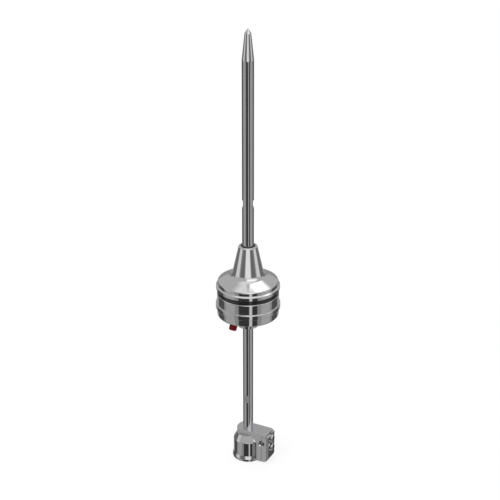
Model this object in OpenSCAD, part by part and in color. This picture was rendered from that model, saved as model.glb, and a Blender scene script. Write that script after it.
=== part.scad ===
/* [Capture rod] */
// Diameter of the pointed capture rod
rod_d = 18; // [16.5:0.5:20]
// Length of the capture rod above the head
rod_reach = 335.5; // [220:1:500]
// Height of the long taper under the nose
taper_h = 39; // [20:1:60]
// Diameter where the long taper meets the nose
nose_d = 9.8; // [6:0.2:12]
// Height of the short pointed nose
nose_h = 7; // [4:0.5:12]
// Diameter of the blunted point
point_d = 0.8; // [0.4:0.1:2]
// Middle of the capture rod's spanner flats above the head
rod_flat_rise = 68.5; // [30:1:120]
// Width across the capture rod's spanner flats
rod_flat_af = 15; // [13:0.5:16]
// Turn of the capture rod's flats about the axis
rod_flat_turn = 27; // [0:1:90]
// Height of the spanner flats on both rods
flat_h = 12.5; // [8:0.5:18]

/* [Upper housing] */
// Wall of the upper housing's skirt
skirt_wall = 4; // [3.4:0.1:5]
// Height of the skirt up to the ledge
skirt_h = 7.4; // [6:0.2:12]
// Step in from the skirt at the ledge
ledge_step = 1.6; // [0.8:0.1:2]
// Height of the wall between the ledge and the round shoulder
shoulder_h = 4.6; // [2:0.1:6]
// Radius of the round shoulder
shoulder_r = 2.2; // [1:0.1:6]
// Slope of the dome in degrees
dome_slope = 22; // [18:1:30]
// Diameter at which the dome and the cone would meet
cone_base_d = 49.4; // [44:0.2:60]
// Diameter of the cone at its top
cone_top_d = 28.2; // [26:0.2:34]
// Height of the cone
cone_h = 48.2; // [40:0.1:70]
// Radius of the hollow blend at the foot of the cone
root_r = 13; // [5:0.5:16]
// Bevel round the top of the cone
cone_bevel = 1.5; // [0.5:0.1:2]
// Thickness of the dome, measured upright
dome_wall = 4; // [3:0.5:5]

/* [Insulating ring] */
// Width of the black ring outside the housings' bore
ring_w = 4.8; // [4:0.1:6]
// Height of the black ring
ring_h = 6.5; // [5.5:0.5:12]
// Rounding of the ring's outer edges
ring_soft = 2; // [1:0.5:2.6]
// Height of the ring's spigots above and below
spigot_h = 7.5; // [5:0.5:8]
// Wall of the ring's spigots
spigot_wall = 3; // [2:0.5:4]
// Thickness of the web that carries the spark pins
web_t = 4; // [3:0.5:5]
// Width of the web inside the spigots
web_w = 6; // [5.5:0.5:8]
// Thickness of the gaskets
gasket_t = 0.5; // [0.4:0.1:1.5]
// Width of the gaskets outside the housings' bore
gasket_w = 1.5; // [1:0.1:1.8]

/* [Lower housing] */
// Bore of both housings
bore_d = 88; // [86:0.5:90]
// Wall of the plain band over the lip
band_wall = 3.5; // [3.2:0.1:4.5]
// Height of the plain band
band_h = 17; // [14:0.5:26]
// Rounding at the top of the band
band_soft = 2; // [1:0.1:2.2]
// Wall at the round lip
lip_wall = 5.6; // [4.6:0.1:6]
// Height of the round lip
lip_h = 8; // [5:0.5:10]
// Rounding of the lip's edges
lip_soft = 1.5; // [0.8:0.1:1.6]
// Wall of the cup under the lip
cup_wall = 3.4; // [2.6:0.1:3.5]
// Height of the cup under the lip
cup_h = 11.6; // [8:0.2:16]
// Rounding at the cup's lower edge
cup_soft = 3; // [1:0.5:5]
// Slope of the dished underside in degrees
dish_slope = 22.2; // [15:0.2:26]
// Diameter of the flat land at the middle of the underside
land_d = 34; // [33:0.5:40]
// Thickness of the dished floor, measured upright
floor_t = 4; // [3:0.5:5]
// Width of the ledge that carries the tray
tray_ledge_w = 6; // [6:0.5:7]
// Height of the tray ledge above the floor's middle
tray_rise = 14; // [13:0.5:18]

/* [Inside the head] */
// Diameter of the stud that joins the two rods
stud_d = 12; // [10:0.5:12]
// Length of stud inside each rod
stud_grip = 28; // [18:1:40]
// Width across the flats of the stud's nuts
nut_af = 19; // [18:0.5:20]
// Height of the floor nut
floor_nut_h = 10; // [7:0.5:11]
// Height of the jam nut under the capture rod
jam_nut_h = 8; // [6:0.5:10]
// Diameter of the washer on the floor
floor_washer_d = 24; // [22:0.5:28]
// Thickness of the washer on the floor
floor_washer_t = 2.5; // [1.5:0.5:3]
// Thickness of the washer under the bush
rod_washer_t = 3; // [2:0.5:4]
// Outer diameter of the bush's sleeve in the cone
bush_d = 22; // [21.5:0.1:23]
// Diameter of the bush's flange
bush_flange_d = 32; // [28:0.5:34]
// Thickness of the bush's flange
bush_flange_t = 3; // [2:0.5:4]
// Height of the bush above the cone
bush_proud = 0.6; // [0.2:0.1:1]
// Thickness of the seal's cord
seal_d = 1; // [0.8:0.1:1.1]
// Depth of the seal below the cone's top
seal_drop = 8; // [5:0.5:20]
// Thickness of the tray
tray_t = 3; // [2:0.5:4]
// Diameter of the hole through the tray
tray_hole_d = 28; // [26:0.5:30]
// Number of tray screws
tray_screws_n = 3; // [3:1:4]
// Diameter of the tray screws
tray_screw_d = 3; // [2.5:0.5:3]
// Length of the tray screws under the head
tray_screw_l = 8; // [6:0.5:9]
// Diameter of the tray screws' heads
tray_screw_head_d = 5.2; // [4.5:0.1:5.5]
// Height of the tray screws' heads
tray_screw_head_h = 2; // [1.5:0.1:2.5]
// Outer diameter of the potted trigger module
module_d = 54; // [48:0.5:55]
// Inner diameter of the potted trigger module
module_bore_d = 30; // [28:0.5:34]
// Height of the potted trigger module
module_h = 20; // [12:0.5:22]
// Bevel round the module's top
module_bevel = 2; // [1:0.5:3]
// Number of capacitors
capacitors_n = 6; // [3:3:6]
// Diameter of a capacitor
capacitor_d = 11; // [8:0.5:11.5]
// Height of a capacitor
capacitor_h = 16; // [10:0.5:17]
// Diameter of the circle that the capacitors stand on
capacitor_circle_d = 68; // [67:0.5:69]
// Number of spark pins
pins_n = 3; // [3:1:6]
// Diameter of a spark pin
pin_d = 3; // [2:0.5:3]
// Length of a spark pin below the web
pin_tail = 4; // [2:0.5:6]
// Gap between a spark pin and the dome
spark_gap = 3; // [2:0.5:6]

/* [Test socket] */
// Diameter of the circle that the test socket lies on
test_circle_d = 68; // [66:0.5:69]
// Turn of the test socket about the axis
test_turn = -102; // [-180:1:180]
// Diameter of the test socket
test_d = 7; // [5:0.5:7.5]
// Length of the test socket below the dish
test_out = 6; // [4:0.5:8]
// Width across the flats of the test socket's nut
test_nut_af = 10; // [9:0.5:10]
// Height of the test socket's nut
test_nut_h = 3; // [2:0.5:3.5]
// Diameter of the red cap
cap_d = 12; // [10:0.2:13]
// Length of the red cap
cap_h = 9; // [8:0.5:14]
// Thickness of the cap's seal
cap_seal_t = 0.8; // [0.5:0.1:1.2]

/* [Lower rod] */
// Diameter of the lower rod
stem_d = 16; // [15:0.5:18]
// Length of the lower rod between clamp and collar
stem_reach = 183.7; // [120:0.5:400]
// Middle of the lower rod's spanner flats above the clamp
stem_flat_rise = 54.5; // [20:0.5:100]
// Width across the lower rod's spanner flats
stem_flat_af = 13; // [12:0.5:14]
// Turn of the lower rod's flats about the axis
stem_flat_turn = 96; // [0:1:180]
// Diameter of the round collar under the head
collar_d = 32; // [28:0.5:34]
// Height of the round collar
collar_h = 9; // [6:0.5:14]
// Rounding of the collar's lower edge
collar_soft = 1.5; // [0.5:0.5:3]

/* [Mast clamp] */
// Outer diameter of the mast tube
mast_d = 33.7; // [30:0.1:34]
// Depth of the mast socket
mast_depth = 25; // [20:0.5:27]
// Diameter of the flared foot
foot_d = 49.2; // [47:0.2:54]
// Height of the flared foot
foot_h = 10.5; // [8:0.5:14]
// Height of the foot's straight rim
rim_h = 4.5; // [3.5:0.1:6]
// Rounding at the foot's lower edge
foot_soft = 2; // [1:0.1:3]
// Diameter of the barrel
barrel_d = 46.2; // [43:0.2:47]
// Height of the barrel
barrel_h = 23.2; // [18:0.1:26]
// Height of the cone over the barrel
hood_h = 10.3; // [6:0.1:16]
// Diameter of the neck over the cone
neck_d = 35.2; // [32:0.2:38]
// Height of the neck
neck_h = 8.3; // [8:0.1:14]
// Width of the ear and of the flats on the neck
ear_w = 26; // [24:0.5:30]
// Distance from the axis to the end of the jaw
ear_reach = 41.6; // [41:0.1:44]
// Height of the ear's underside
ear_foot = 2; // [1:0.5:8]
// Rounding at the jaw's lower end
jaw_toe_r = 8.5; // [4:0.5:10]
// Rounding at the jaw's upper end
jaw_brow_r = 0.8; // [0.4:0.1:1]
// Height of the plate's top over the jaw's upper end
jaw_drop = 2.3; // [1.5:0.1:2.6]
// Radius of the hollow blend between the barrel and the ear
ear_blend_r = 6; // [3:0.5:8]
// Thickness of the plate that reaches over the jaw
plate_t = 4.5; // [3:0.1:4.8]
// Distance from the axis to the end of the plate
plate_reach = 37.6; // [36:0.1:37.6]
// Bevel at the end of the plate
plate_bevel = 1.6; // [0.8:0.1:2]
// Rounding of the jaw's upright edges
jaw_edge_r = 2.5; // [1:0.5:4]
// Distance from the axis to the split between ear and jaw
split_reach = 30; // [29.5:0.1:30.5]
// Width of the split
split_gap = 0.5; // [0.4:0.1:1.5]
// Depth of the lower rod in the clamp
stem_depth = 22.3; // [18:0.1:24]
// Diameter of the round down conductor
conductor_d = 8; // [6:0.5:8]
// Height of the conductor hole
conductor_z = 35; // [34:0.5:36]
// Bevel at the mouths of the conductor hole
conductor_bevel = 1.6; // [0.4:0.1:2]
// Distance between the jaw bolts
bolt_pitch = 16.5; // [16.3:0.1:17]
// Diameter of the jaw bolts
bolt_d = 6; // [5:0.5:6.5]
// Length of the jaw bolts under the head
bolt_l = 20; // [16:0.5:21]
// Diameter of the bolt heads
bolt_head_d = 10; // [9:0.1:10.2]
// Height of the bolt heads
bolt_head_h = 6; // [5:0.1:6.5]
// Height of the bolt heads over the jaw's end
bolt_proud = 3.8; // [3:0.1:4.5]
// Width across the flats of the sockets in the bolt heads
bolt_socket_af = 5; // [4:0.5:5]
// Depth of the sockets in the bolt heads
bolt_socket_h = 3; // [2:0.5:4]
// Diameter of the jaw washers
washer_d = 10; // [9:0.1:10.2]
// Thickness of the jaw washers
washer_t = 1.2; // [0.8:0.1:1.6]
// Diameter of the set screw that locks the lower rod
grub_d = 6; // [4:0.5:6]
// Height of the set screw below the clamp's top
grub_drop = 5; // [4:0.1:6]
// Width across the flats of the set screw's socket
grub_af = 3; // [2:0.5:3]
// Depth of the set screw's socket
grub_socket_h = 2.5; // [1:0.5:2.5]

/* [Fits] */
// Gap round a threaded piece in its hole
thread_play = 0.05; // [0.02:0.01:0.1]
// Gap round a piece that slips into another
slip_play = 0.1; // [0.05:0.01:0.2]
// Gap round a bolt in a clearance hole
bolt_play = 0.2; // [0.1:0.05:0.3]
// Gap round a bolt head in its counterbore
head_play = 0.8; // [0.4:0.1:0.9]
// Gap between the mast tube and its socket
mast_play = 0.15; // [0.05:0.05:0.4]
// Bevel at the ends of rods, bores and studs
edge_bevel = 1; // [0.5:0.1:1.5]

/* [Hidden] */

steel = "gainsboro";
inner_steel = "silver";
black = "#202020";
brass = "goldenrod";
fine = 96;
arc_steps = 8;
cut = 2;

// Radii of the turned pieces
rod_r = rod_d / 2;
stem_r = stem_d / 2;
stud_r = stud_d / 2;
bore_r = bore_d / 2;
head_r = bore_r + skirt_wall;
wall_r = head_r - ledge_step;
ring_r = bore_r + ring_w;
lip_r = bore_r + lip_wall;
band_r = bore_r + band_wall;
cup_r = bore_r + cup_wall;
land_r = land_d / 2;
cone_top_r = cone_top_d / 2;
bush_bore_r = bush_d / 2 + slip_play;
rod_bore_r = rod_r + slip_play;
spigot_r = bore_r - slip_play;
spigot_bore_r = spigot_r - spigot_wall;
web_r = spigot_bore_r - web_w;
tray_ledge_r = bore_r - tray_ledge_w;
stud_hole_r = stud_r + slip_play;

// Heights from the clamp's foot upwards
barrel_z = foot_h;
hood_z = barrel_z + barrel_h;
neck_z = hood_z + hood_h;
clamp_z = neck_z + neck_h;
stem_foot_z = clamp_z - stem_depth;
collar_z = clamp_z + stem_reach;
dish_z = collar_z + collar_h;
floor_z = dish_z + floor_t;
cup_z = dish_at(cup_r);
lip_z = cup_z + cup_h;
band_z = lip_z + lip_h;
lower_top_z = band_z + band_h;
ring_z = lower_top_z + gasket_t;
ring_top_z = ring_z + ring_h;
web_z = ring_z + (ring_h - web_t) / 2;
skirt_z = ring_top_z + gasket_t;
ledge_z = skirt_z + skirt_h;
shoulder_z = ledge_z + shoulder_h;
tray_z = floor_z + tray_rise;
tray_top_z = tray_z + tray_t;
stem_flat_z = clamp_z + stem_flat_rise;

// The dome runs from the round shoulder in to the foot of the cone
dome_start = [wall_r - shoulder_r + shoulder_r * sin(dome_slope),
    shoulder_z + shoulder_r * cos(dome_slope)];
cone_z = dome_at(cone_base_d / 2);
cone_top_z = cone_z + cone_h;
cone_lean = atan((cone_base_d / 2 - cone_top_r) / cone_h);
root_turn = 90 - cone_lean - dome_slope;
root_run = root_r * tan(root_turn / 2);
root_center = [cone_base_d / 2 + root_run * cos(dome_slope) + root_r * sin(dome_slope),
    cone_z - root_run * sin(dome_slope) + root_r * cos(dome_slope)];
roof_r = bush_flange_d / 2 + edge_bevel;
roof_z = dome_at(roof_r) - dome_wall;
bush_foot_z = roof_z - bush_flange_t;
rod_foot_z = bush_foot_z - rod_washer_t;
tip_z = cone_top_z + rod_reach;
nose_z = tip_z - nose_h;
taper_z = nose_z - taper_h;
rod_flat_z = cone_top_z + rod_flat_rise;
seal_z = cone_top_z - seal_drop;
stud_foot_z = dish_z - stud_grip;
stud_top_z = rod_foot_z + stud_grip;

// The spark pins and tray screws
pin_circle_r = web_r + web_w / 2;
pin_top_z = dome_at(pin_circle_r) - dome_wall - spark_gap;
pin_foot_z = web_z - pin_tail;
screw_circle_r = tray_ledge_r + tray_ledge_w / 2;
screw_turn = 30;

// The test socket stands square to the dish
dish_n = floor_t * cos(dish_slope);
test_seat_lift = 0.3;
test_in = dish_n + test_seat_lift + test_nut_h;

// The clamp's bolts, split and plate
bolt_heights = [conductor_z - bolt_pitch / 2, conductor_z + bolt_pitch / 2];
ear_end = split_reach - split_gap / 2;
jaw_start = split_reach + split_gap / 2;
bolt_seat = ear_reach + bolt_proud - bolt_head_h;
washer_seat = bolt_seat - washer_t;
bolt_tip = bolt_seat - bolt_l;
bolt_hole_end = bolt_tip - edge_bevel;
plate_z = clamp_z - plate_t;
jaw_top_z = clamp_z - jaw_drop;
barrel_r = barrel_d / 2;
foot_r = foot_d / 2;
mast_r = mast_d / 2 + mast_play;
stem_bore_r = stem_r + thread_play;
grub_z = clamp_z - grub_drop;

// Height of the dished underside at a radius
function dish_at(r) = dish_z + (r - land_r) * tan(dish_slope);

// Height of the dome's outer slope at a radius
function dome_at(r) = dome_start.y + (dome_start.x - r) * tan(dome_slope);

// Points along an arc about a centre
function arc(center, r, from, to) = [for (i = [0:arc_steps])
    let (a = from + (to - from) * i / arc_steps) center + r * [cos(a), sin(a)]];

// Solid of revolution about the rod's axis
module turned(outline) {
    rotate_extrude($fn = fine) polygon(outline);
}

// Upright round bar
module bar(d, h) {
    cylinder(d = d, h = h, $fn = fine);
}

// Round bar with a hole through it
module ring(d, hole_d, h) {
    difference() {
        bar(d, h);
        translate([0, 0, -cut]) bar(hole_d, h + 2 * cut);
    }
}

// Hexagonal bar, sized across its flats
module hex(af, h) {
    cylinder(d = af / cos(30), h = h, $fn = 6);
}

// Hexagonal nut on a stud or a socket
module nut(af, hole_d, h) {
    difference() {
        hex(af, h);
        translate([0, 0, -cut]) bar(hole_d + 2 * thread_play, h + 2 * cut);
    }
}

// Pair of cuts that leave spanner flats on a rod
module flat_cuts(d, af, z) {
    for (side = [-1, 1]) {
        translate([side * (af + d) / 2, 0, z]) cube([d, 2 * d, flat_h], center = true);
    }
}

// Tapped hole for the stud, upwards from a height
module stud_tapping(z) {
    translate([0, 0, z]) bar(stud_d + 2 * thread_play, stud_grip + cut);
}

// Copies spaced evenly round the axis
module round_about(count, r, start) {
    for (i = [0:count - 1]) {
        rotate(start + i * 360 / count) translate([r, 0, 0]) children();
    }
}

// Place on the dish with the third axis out of its face
module on_dish() {
    test_r = test_circle_d / 2;
    rotate(test_turn) translate([test_r, 0, dish_at(test_r)]) rotate([0, 180 - dish_slope, 0]) children();
}

// Place along the ear with the third axis out of the jaw
module along_ear(x, z) {
    translate([x, 0, z]) rotate([0, 90, 0]) children();
}

// Side view drawn out across the ear's width
module across_ear(outline) {
    rotate([90, 0, 0]) translate([0, 0, -ear_w / 2]) linear_extrude(ear_w) polygon(outline);
}

// Ear with the plate over the jaw
module ear() {
    across_ear([[0, ear_foot], [ear_end, ear_foot], [ear_end, plate_z], [plate_reach, plate_z],
        [plate_reach, clamp_z - plate_bevel], [plate_reach - plate_bevel, clamp_z], [0, clamp_z]]);
}

// Hollow blend between the barrel and one side of the ear, sloped on top like the hood
module ear_blend() {
    away = barrel_r + ear_blend_r;
    center = [sqrt(away ^ 2 - (ear_w / 2 + ear_blend_r) ^ 2), ear_w / 2 + ear_blend_r];
    lean = atan2(center.y, center.x);
    brim = norm([center.x, ear_w / 2]) - barrel_r;
    intersection() {
        translate([0, 0, ear_foot]) linear_extrude(neck_z - ear_foot) polygon(concat(
            [[0, 0], [center.x, 0]], arc(center, ear_blend_r, 270, 180 + lean)));
        turned([[0, 0], [barrel_r + brim, 0], [barrel_r + brim, hood_z], [neck_d / 2, neck_z], [0, neck_z]]);
    }
}

// Jaw without its holes, with a raised end in front of the plate
module jaw_block() {
    inner_top = plate_z - split_gap;
    lip_start = plate_reach + split_gap;
    intersection() {
        across_ear(concat(
            [[jaw_start, ear_foot]],
            arc([ear_reach - jaw_toe_r, ear_foot + jaw_toe_r], jaw_toe_r, -90, 0),
            arc([ear_reach - jaw_brow_r, jaw_top_z - jaw_brow_r], jaw_brow_r, 0, 90),
            [[lip_start, jaw_top_z], [lip_start, inner_top], [jaw_start, inner_top]]));
        linear_extrude(clamp_z) polygon(concat(
            [[0, -ear_w / 2]],
            arc([ear_reach - jaw_edge_r, jaw_edge_r - ear_w / 2], jaw_edge_r, -90, 0),
            arc([ear_reach - jaw_edge_r, ear_w / 2 - jaw_edge_r], jaw_edge_r, 0, 90),
            [[0, ear_w / 2]]));
    }
}

// Round hole across the split, with bevelled mouths
module conductor_hole() {
    r = conductor_d / 2;
    translate([split_reach, 0, conductor_z]) rotate([90, 0, 0]) {
        translate([0, 0, -ear_w / 2 - cut]) bar(conductor_d, ear_w + 2 * cut);
        for (side = [0, 1]) {
            mirror([0, 0, side]) translate([0, 0, ear_w / 2 - conductor_bevel])
                cylinder(r1 = r, r2 = r + 2 * conductor_bevel, h = 2 * conductor_bevel, $fn = fine);
        }
    }
}

module capture_rod() {
    color(steel) difference() {
        turned([[0, rod_foot_z], [rod_r - edge_bevel, rod_foot_z], [rod_r, rod_foot_z + edge_bevel],
            [rod_r, taper_z], [nose_d / 2, nose_z], [point_d / 2, tip_z], [0, tip_z]]);
        stud_tapping(rod_foot_z - cut + edge_bevel);
        rotate(rod_flat_turn) flat_cuts(rod_d, rod_flat_af, rod_flat_z);
    }
}

module upper_bush() {
    sleeve_r = bush_d / 2;
    groove_r = rod_bore_r + seal_d;
    color(black) turned([[rod_bore_r, bush_foot_z], [bush_flange_d / 2, bush_foot_z],
        [bush_flange_d / 2, roof_z], [sleeve_r, roof_z], [sleeve_r, cone_top_z + bush_proud],
        [rod_bore_r, cone_top_z + bush_proud], [rod_bore_r, seal_z + seal_d],
        [groove_r, seal_z + seal_d], [groove_r, seal_z - seal_d], [rod_bore_r, seal_z - seal_d]]);
}

module rod_seal() {
    color(black) translate([0, 0, seal_z]) rotate_extrude($fn = fine)
        translate([rod_r + slip_play / 2 + seal_d / 2, 0]) circle(d = seal_d, $fn = 24);
}

module upper_housing() {
    bevel_r = cone_top_r + cone_bevel * tan(cone_lean);
    color(steel) turned(concat(
        [[bore_r, skirt_z], [head_r, skirt_z], [head_r, ledge_z - ledge_step], [wall_r, ledge_z]],
        arc([wall_r - shoulder_r, shoulder_z], shoulder_r, 0, 90 - dome_slope),
        arc(root_center, root_r, 270 - dome_slope, 180 + cone_lean),
        [[bevel_r, cone_top_z - cone_bevel], [cone_top_r - cone_bevel, cone_top_z],
            [bush_bore_r, cone_top_z], [bush_bore_r, roof_z], [roof_r, roof_z],
            [bore_r, dome_at(bore_r) - dome_wall]]));
}

module gasket(z) {
    color(black) translate([0, 0, z]) ring(bore_d + 2 * gasket_w, bore_d, gasket_t);
}

module upper_gasket() {
    gasket(ring_top_z);
}

module lower_gasket() {
    gasket(lower_top_z);
}

module insulator_ring() {
    edge_r = ring_r - ring_soft;
    color(black) difference() {
        turned(concat(
            [[spigot_bore_r, ring_z - spigot_h], [spigot_r, ring_z - spigot_h], [spigot_r, ring_z]],
            arc([edge_r, ring_z + ring_soft], ring_soft, -90, 0),
            arc([edge_r, ring_top_z - ring_soft], ring_soft, 0, 90),
            [[spigot_r, ring_top_z], [spigot_r, ring_top_z + spigot_h],
                [spigot_bore_r, ring_top_z + spigot_h], [spigot_bore_r, web_z + web_t],
                [web_r, web_z + web_t], [web_r, web_z], [spigot_bore_r, web_z]]));
        round_about(pins_n, pin_circle_r, 0) translate([0, 0, web_z - cut])
            bar(pin_d + 2 * thread_play, web_t + 2 * cut);
    }
}

module lower_housing() {
    edge_drop = cup_soft * tan((90 - dish_slope) / 2);
    color(steel) difference() {
        turned(concat(
            [[stud_hole_r, dish_z], [land_r, dish_z]],
            arc([cup_r - cup_soft, cup_z + edge_drop], cup_soft, dish_slope - 90, 0),
            [[cup_r, lip_z]],
            arc([lip_r - lip_soft, lip_z + lip_soft], lip_soft, -90, 0),
            arc([lip_r - lip_soft, band_z - lip_soft], lip_soft, 0, 90),
            [[band_r, band_z]],
            arc([band_r - band_soft, lower_top_z - band_soft], band_soft, 0, 90),
            [[bore_r, lower_top_z], [bore_r, tray_z], [tray_ledge_r, tray_z],
                [tray_ledge_r, dish_at(tray_ledge_r) + floor_t], [land_r, floor_z],
                [stud_hole_r, floor_z]]));
        on_dish() translate([0, 0, -test_in - cut]) bar(test_d + 2 * thread_play, test_in + 2 * cut);
        round_about(tray_screws_n, screw_circle_r, screw_turn)
            translate([0, 0, tray_top_z - tray_screw_l - edge_bevel])
            bar(tray_screw_d + 2 * thread_play, tray_screw_l);
    }
}

module spark_pins() {
    color(brass) round_about(pins_n, pin_circle_r, 0) translate([0, 0, pin_foot_z]) turned([[0, 0],
        [pin_d / 2, 0], [pin_d / 2, pin_top_z - pin_foot_z - pin_d], [0, pin_top_z - pin_foot_z]]);
}

module module_tray() {
    color("darkolivegreen") difference() {
        translate([0, 0, tray_z]) ring(2 * spigot_r, tray_hole_d, tray_t);
        round_about(tray_screws_n, screw_circle_r, screw_turn) translate([0, 0, tray_z - cut])
            bar(tray_screw_d + 2 * slip_play, tray_t + 2 * cut);
    }
}

module tray_screws() {
    color(inner_steel) round_about(tray_screws_n, screw_circle_r, screw_turn) translate([0, 0, tray_top_z]) {
        bar(tray_screw_head_d, tray_screw_head_h);
        translate([0, 0, -tray_screw_l]) bar(tray_screw_d, tray_screw_l);
    }
}

module trigger_module() {
    r = module_d / 2;
    hole_r = module_bore_d / 2;
    top = tray_top_z + module_h;
    color("darkslategray") turned([[hole_r, tray_top_z], [r, tray_top_z], [r, top - module_bevel],
        [r - module_bevel, top], [hole_r, top]]);
}

module capacitors() {
    color("steelblue") round_about(capacitors_n, capacitor_circle_d / 2, 0)
        translate([0, 0, tray_top_z]) bar(capacitor_d, capacitor_h);
}

module center_stud() {
    color(inner_steel) turned([[0, stud_foot_z], [stud_r - edge_bevel, stud_foot_z],
        [stud_r, stud_foot_z + edge_bevel], [stud_r, stud_top_z - edge_bevel],
        [stud_r - edge_bevel, stud_top_z], [0, stud_top_z]]);
}

module jam_nut() {
    color(inner_steel) translate([0, 0, rod_foot_z - jam_nut_h]) nut(nut_af, stud_d, jam_nut_h);
}

module rod_washer() {
    color(inner_steel) translate([0, 0, rod_foot_z]) ring(bush_flange_d, 2 * rod_bore_r, rod_washer_t);
}

module floor_nut() {
    color(inner_steel) translate([0, 0, floor_z + floor_washer_t]) nut(nut_af, stud_d, floor_nut_h);
}

module floor_washer() {
    color(inner_steel) translate([0, 0, floor_z]) ring(floor_washer_d, 2 * stud_hole_r, floor_washer_t);
}

module collar() {
    r = collar_d / 2;
    color(steel) turned(concat([[stem_bore_r, collar_z]],
        arc([r - collar_soft, collar_z + collar_soft], collar_soft, -90, 0),
        [[r, dish_z], [stem_bore_r, dish_z]]));
}

module lower_rod() {
    color(steel) difference() {
        turned([[0, stem_foot_z], [stem_r - edge_bevel, stem_foot_z], [stem_r, stem_foot_z + edge_bevel],
            [stem_r, dish_z], [0, dish_z]]);
        stud_tapping(stud_foot_z - edge_bevel);
        rotate(stem_flat_turn) flat_cuts(stem_d, stem_flat_af, stem_flat_z);
    }
}

module test_socket() {
    color(brass) on_dish() translate([0, 0, -test_in]) bar(test_d, test_in + test_out);
}

module test_nut() {
    color(brass) on_dish() translate([0, 0, -test_in]) nut(test_nut_af, test_d, test_nut_h);
}

module cap_seal() {
    color(black) on_dish() ring(cap_d - edge_bevel, test_d + 2 * thread_play, cap_seal_t);
}

module test_cap() {
    r = cap_d / 2;
    bore = test_d / 2 + thread_play;
    room = test_out + slip_play;
    color("firebrick") on_dish() turned([[bore, cap_seal_t], [r, cap_seal_t],
        [r, cap_seal_t + cap_h - edge_bevel], [r - edge_bevel, cap_seal_t + cap_h],
        [0, cap_seal_t + cap_h], [0, room], [bore, room]]);
}

module clamp_body() {
    color(steel) difference() {
        union() {
            turned(concat([[0, 0]], arc([foot_r - foot_soft, foot_soft], foot_soft, -90, 0),
                [[foot_r, rim_h], [barrel_r, foot_h], [barrel_r, hood_z], [neck_d / 2, neck_z],
                    [0, neck_z]]));
            intersection() {
                bar(neck_d, clamp_z);
                translate([-neck_d, -ear_w / 2, barrel_z]) cube([2 * neck_d, ear_w, clamp_z]);
            }
            ear();
            for (side = [0, 1]) mirror([0, side, 0]) ear_blend();
        }
        translate([0, 0, -cut]) bar(2 * mast_r, mast_depth + cut);
        translate([0, 0, -edge_bevel])
            cylinder(r1 = mast_r + 2 * edge_bevel, r2 = mast_r, h = 2 * edge_bevel, $fn = fine);
        translate([0, 0, stem_foot_z]) bar(2 * stem_bore_r, stem_depth + cut);
        conductor_hole();
        for (z = bolt_heights) {
            along_ear(bolt_hole_end, z) bar(bolt_d + 2 * thread_play, ear_reach - bolt_hole_end);
        }
        translate([0, 0, grub_z]) rotate([-90, 0, 0]) bar(grub_d + 2 * thread_play, ear_w);
    }
}

module rod_set_screw() {
    start = stem_r + thread_play;
    length = ear_w / 2 - start - slip_play;
    color("dimgray") translate([0, start, grub_z]) rotate([-90, 0, 0]) difference() {
        bar(grub_d, length);
        translate([0, 0, length - grub_socket_h]) hex(grub_af, grub_socket_h + cut);
    }
}

module clamp_jaw() {
    color(steel) difference() {
        jaw_block();
        conductor_hole();
        for (z = bolt_heights) {
            along_ear(bolt_hole_end, z) bar(bolt_d + 2 * bolt_play, ear_reach);
            along_ear(washer_seat, z) bar(bolt_head_d + 2 * head_play, ear_reach);
        }
    }
}

module jaw_washers() {
    color(inner_steel) for (z = bolt_heights) {
        along_ear(washer_seat, z) ring(washer_d, bolt_d + 2 * bolt_play, washer_t);
    }
}

module jaw_bolts() {
    color(inner_steel) for (z = bolt_heights) {
        along_ear(bolt_seat, z) difference() {
            bar(bolt_head_d, bolt_head_h);
            translate([0, 0, bolt_head_h - bolt_socket_h]) hex(bolt_socket_af, bolt_socket_h + cut);
        }
        along_ear(bolt_tip, z) bar(bolt_d, bolt_l);
    }
}

capture_rod();
upper_bush();
rod_seal();
upper_housing();
upper_gasket();
insulator_ring();
lower_gasket();
lower_housing();
spark_pins();
module_tray();
tray_screws();
trigger_module();
capacitors();
center_stud();
jam_nut();
rod_washer();
floor_nut();
floor_washer();
collar();
lower_rod();
test_socket();
test_nut();
cap_seal();
test_cap();
clamp_body();
rod_set_screw();
clamp_jaw();
jaw_washers();
jaw_bolts();
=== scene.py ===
"""Dresses the lightning rod: turned steel housings, rods, clamp, black ring and red cap."""
import logging
import math
from dataclasses import dataclass, field
from enum import Enum
from typing import Iterable, Sequence

import bmesh
import bpy
from mathutils import Matrix, Vector


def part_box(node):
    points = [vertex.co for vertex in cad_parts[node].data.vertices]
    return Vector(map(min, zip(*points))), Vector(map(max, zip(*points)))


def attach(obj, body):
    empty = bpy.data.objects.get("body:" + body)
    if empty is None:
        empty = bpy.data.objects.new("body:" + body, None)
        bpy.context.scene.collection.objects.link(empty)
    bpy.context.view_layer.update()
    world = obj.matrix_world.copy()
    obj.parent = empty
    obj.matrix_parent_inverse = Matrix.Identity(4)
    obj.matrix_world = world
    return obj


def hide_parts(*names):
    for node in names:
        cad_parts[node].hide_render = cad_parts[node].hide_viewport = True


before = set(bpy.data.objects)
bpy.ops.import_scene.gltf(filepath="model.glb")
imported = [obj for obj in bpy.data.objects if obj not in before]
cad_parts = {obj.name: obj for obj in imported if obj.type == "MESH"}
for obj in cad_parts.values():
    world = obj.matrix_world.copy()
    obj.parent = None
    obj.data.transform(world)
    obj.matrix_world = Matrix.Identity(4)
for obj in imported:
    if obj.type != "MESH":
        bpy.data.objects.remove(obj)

LOG = logging.getLogger("lightning_rod")
MM = 0.001
BODY = "root"
TURN_SEGMENTS = 144
ARC_STEP_DEG = 12.0
EDGE_SOFT = 0.3
CUT = 2.0
TURNED_SHARP_DEG = 50.0


class Grain(Enum):
    """Direction of the polishing marks on a steel piece, as stretch along X, Y and Z."""

    RINGS = (12.0, 12.0, 1400.0)
    LENGTH = (300.0, 300.0, 2.0)
    EVEN = (420.0, 420.0, 420.0)


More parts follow.
